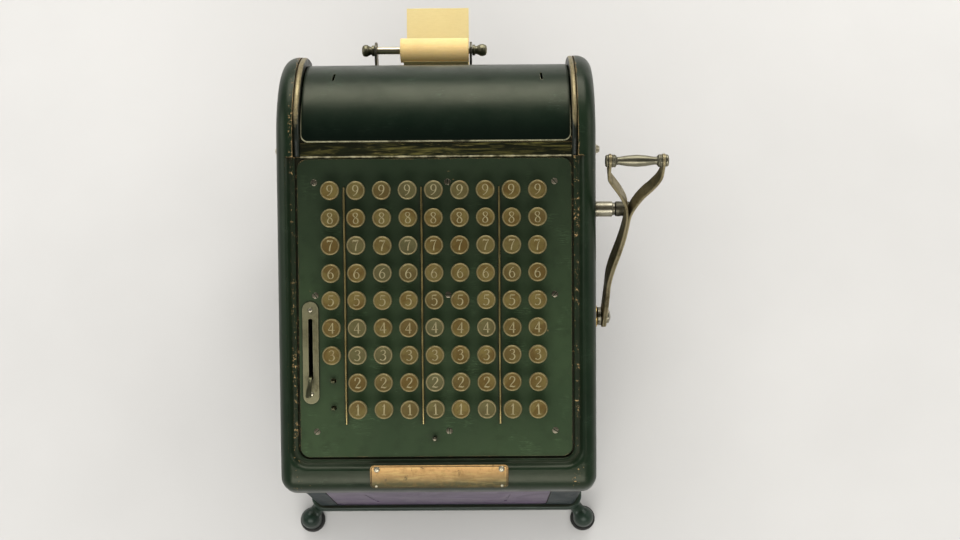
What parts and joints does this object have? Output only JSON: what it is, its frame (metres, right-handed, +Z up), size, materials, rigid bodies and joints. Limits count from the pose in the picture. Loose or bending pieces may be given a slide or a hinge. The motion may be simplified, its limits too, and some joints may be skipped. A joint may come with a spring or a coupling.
{
  "type": "mechanical adding machine",
  "caption": "Sloped full-keyboard lever adding machine with roll-top cover, side pull handle, paper roll at the back and four rubber feet.",
  "frame": {"origin": "bottom centre of the bounding box of the whole machine at rest, on the floor plane", "axes": "+Z up, -Y towards the operator, +X to the operator's right (handle side)"},
  "size_m": [0.3156, 0.4608, 0.3128],
  "materials": {
    "green_paint": "gloss dark green enamel, worn to brass-coloured edges",
    "plate_paint": "satin dark green enamel, scuffed",
    "dark_enamel": "gloss very dark green enamel",
    "panel_paint": "satin dark green enamel",
    "mauve_panel": "satin mauve enamel",
    "brass": "tarnished brass",
    "key_brass": "tarnished brass, engraved digit",
    "name_plate": "copper-gold patina",
    "nickel": "worn nickel plate",
    "steel": "dull steel",
    "iron": "bare cast iron",
    "rubber": "black rubber",
    "paper": "matte cream paper"
  },
  "bodies": {
    "case": {"hood": "green_paint", "cheek_trim_left": "brass", "cheek_trim_right": "brass", "name_plate": "name_plate", "key_plate": "plate_paint", "divider_left": "brass", "divider_centre": "brass", "divider_right": "brass", "slot_plate": "nickel", "lower_case": "dark_enamel", "front_panel": "mauve_panel", "left_panel": "panel_paint", "right_panel": "panel_paint", "rear_panel": "panel_paint", "base_frame": "green_paint", "bottom_plate": "panel_paint", "rubber_foot_front_left": "rubber", "rubber_foot_front_right": "rubber", "rubber_foot_rear_left": "rubber", "rubber_foot_rear_right": "rubber", "side_frame_left": "iron", "side_frame_right": "iron", "shaft_bushing": "brass", "stop_post": "nickel", "stop_bumper": "steel", "side_screw_left": "steel", "side_screw_right": "steel", "spindle_bracket_left": "steel", "spindle_bracket_right": "steel", "paper_tape": "paper"},
    "cover": {"roll_top_cover": "green_paint"},
    "handle": {"main_shaft": "nickel", "drive_arm": "steel", "handle_strap_inner": "nickel", "handle_strap_outer": "nickel", "handle_grip": "nickel"},
    "repeat_lever": {"repeat_lever": "brass"},
    "paper_roll": {"paper_spindle": "steel", "paper_roll": "paper"},
    "platen": {"platen": "rubber"},
    "accumulator": {"accumulator": "brass"},
    "type_sectors": {"type_sectors": "steel"},
    "key_row_1": {"key_row_1": "key_brass"},
    "key_row_2": {"key_row_2": "key_brass"},
    "key_row_3": {"key_row_3": "key_brass"},
    "key_row_4": {"key_row_4": "key_brass"},
    "key_row_5": {"key_row_5": "key_brass"},
    "key_row_6": {"key_row_6": "key_brass"},
    "key_row_7": {"key_row_7": "key_brass"},
    "key_row_8": {"key_row_8": "key_brass"},
    "key_row_9": {"key_row_9": "key_brass"},
    "key_units_1": {"key_units_1": "key_brass"},
    "key_units_2": {"key_units_2": "key_brass"},
    "key_units_3": {"key_units_3": "key_brass"},
    "key_units_4": {"key_units_4": "key_brass"},
    "key_units_5": {"key_units_5": "key_brass"},
    "key_units_6": {"key_units_6": "key_brass"},
    "key_units_7": {"key_units_7": "key_brass"},
    "key_units_8": {"key_units_8": "key_brass"},
    "key_units_9": {"key_units_9": "key_brass"}
  },
  "joints": [
    {"name": "handle_pull", "type": "hinge", "parent": "case", "child": "handle", "pos_m": [-0.02149, -0.04799, 0.1], "axis": [1, 0, 0], "range_deg": [0, 75], "stiffness_Nm_per_rad": 2, "springref_deg": -57.3},
    {"name": "type_sector_swing", "type": "hinge", "parent": "case", "child": "type_sectors", "pos_m": [-0.02149, 0.05851, 0.085], "axis": [1, 0, 0], "range_deg": [0, 30]},
    {"name": "accumulator_turn", "type": "hinge", "parent": "case", "child": "accumulator", "pos_m": [-0.02149, -0.12649, 0.112], "axis": [1, 0, 0], "range_deg": [-90, 0]},
    {"name": "cover_roll", "type": "hinge", "parent": "case", "child": "cover", "pos_m": [-0.02149, 0.07829, 0.20807], "axis": [-1, 0, 0], "range_deg": [0, 25]},
    {"name": "repeat_lever_slide", "type": "slide", "parent": "case", "child": "repeat_lever", "axis": [0, 0.9408, 0.3389], "range_m": [0, 0.045]},
    {"name": "paper_roll_turn", "type": "hinge", "parent": "case", "child": "paper_roll", "pos_m": [-0.02149, 0.17101, 0.1948], "axis": [1, 0, 0], "continuous": true},
    {"name": "platen_turn", "type": "hinge", "parent": "case", "child": "platen", "pos_m": [-0.02149, 0.12611, 0.145], "axis": [1, 0, 0], "continuous": true},
    {"name": "key_row_1_press", "type": "slide", "parent": "case", "child": "key_row_1", "axis": [0, 0.3389, -0.9408], "range_m": [0, 0.005], "stiffness_N_per_m": 1200, "springref_m": -0.004},
    {"name": "key_row_2_press", "type": "slide", "parent": "case", "child": "key_row_2", "axis": [0, 0.3389, -0.9408], "range_m": [0, 0.005], "stiffness_N_per_m": 1200, "springref_m": -0.004},
    {"name": "key_row_3_press", "type": "slide", "parent": "case", "child": "key_row_3", "axis": [0, 0.3389, -0.9408], "range_m": [0, 0.005], "stiffness_N_per_m": 1200, "springref_m": -0.004},
    {"name": "key_row_4_press", "type": "slide", "parent": "case", "child": "key_row_4", "axis": [0, 0.3389, -0.9408], "range_m": [0, 0.005], "stiffness_N_per_m": 1200, "springref_m": -0.004},
    {"name": "key_row_5_press", "type": "slide", "parent": "case", "child": "key_row_5", "axis": [0, 0.3389, -0.9408], "range_m": [0, 0.005], "stiffness_N_per_m": 1200, "springref_m": -0.004},
    {"name": "key_row_6_press", "type": "slide", "parent": "case", "child": "key_row_6", "axis": [0, 0.3389, -0.9408], "range_m": [0, 0.005], "stiffness_N_per_m": 1200, "springref_m": -0.004},
    {"name": "key_row_7_press", "type": "slide", "parent": "case", "child": "key_row_7", "axis": [0, 0.3389, -0.9408], "range_m": [0, 0.005], "stiffness_N_per_m": 1200, "springref_m": -0.004},
    {"name": "key_row_8_press", "type": "slide", "parent": "case", "child": "key_row_8", "axis": [0, 0.3389, -0.9408], "range_m": [0, 0.005], "stiffness_N_per_m": 1200, "springref_m": -0.004},
    {"name": "key_row_9_press", "type": "slide", "parent": "case", "child": "key_row_9", "axis": [0, 0.3389, -0.9408], "range_m": [0, 0.005], "stiffness_N_per_m": 1200, "springref_m": -0.004},
    {"name": "key_units_1_press", "type": "slide", "parent": "case", "child": "key_units_1", "axis": [0, 0.3389, -0.9408], "range_m": [0, 0.005], "stiffness_N_per_m": 150, "springref_m": -0.004},
    {"name": "key_units_2_press", "type": "slide", "parent": "case", "child": "key_units_2", "axis": [0, 0.3389, -0.9408], "range_m": [0, 0.005], "stiffness_N_per_m": 150, "springref_m": -0.004},
    {"name": "key_units_3_press", "type": "slide", "parent": "case", "child": "key_units_3", "axis": [0, 0.3389, -0.9408], "range_m": [0, 0.005], "stiffness_N_per_m": 150, "springref_m": -0.004},
    {"name": "key_units_4_press", "type": "slide", "parent": "case", "child": "key_units_4", "axis": [0, 0.3389, -0.9408], "range_m": [0, 0.005], "stiffness_N_per_m": 150, "springref_m": -0.004},
    {"name": "key_units_5_press", "type": "slide", "parent": "case", "child": "key_units_5", "axis": [0, 0.3389, -0.9408], "range_m": [0, 0.005], "stiffness_N_per_m": 150, "springref_m": -0.004},
    {"name": "key_units_6_press", "type": "slide", "parent": "case", "child": "key_units_6", "axis": [0, 0.3389, -0.9408], "range_m": [0, 0.005], "stiffness_N_per_m": 150, "springref_m": -0.004},
    {"name": "key_units_7_press", "type": "slide", "parent": "case", "child": "key_units_7", "axis": [0, 0.3389, -0.9408], "range_m": [0, 0.005], "stiffness_N_per_m": 150, "springref_m": -0.004},
    {"name": "key_units_8_press", "type": "slide", "parent": "case", "child": "key_units_8", "axis": [0, 0.3389, -0.9408], "range_m": [0, 0.005], "stiffness_N_per_m": 150, "springref_m": -0.004},
    {"name": "key_units_9_press", "type": "slide", "parent": "case", "child": "key_units_9", "axis": [0, 0.3389, -0.9408], "range_m": [0, 0.005], "stiffness_N_per_m": 150, "springref_m": -0.004}
  ],
  "couplings": [
    {"joint": "type_sector_swing", "follows": "handle_pull", "ratio": 0.4},
    {"joint": "accumulator_turn", "follows": "handle_pull", "ratio": -1.2}
  ]
}
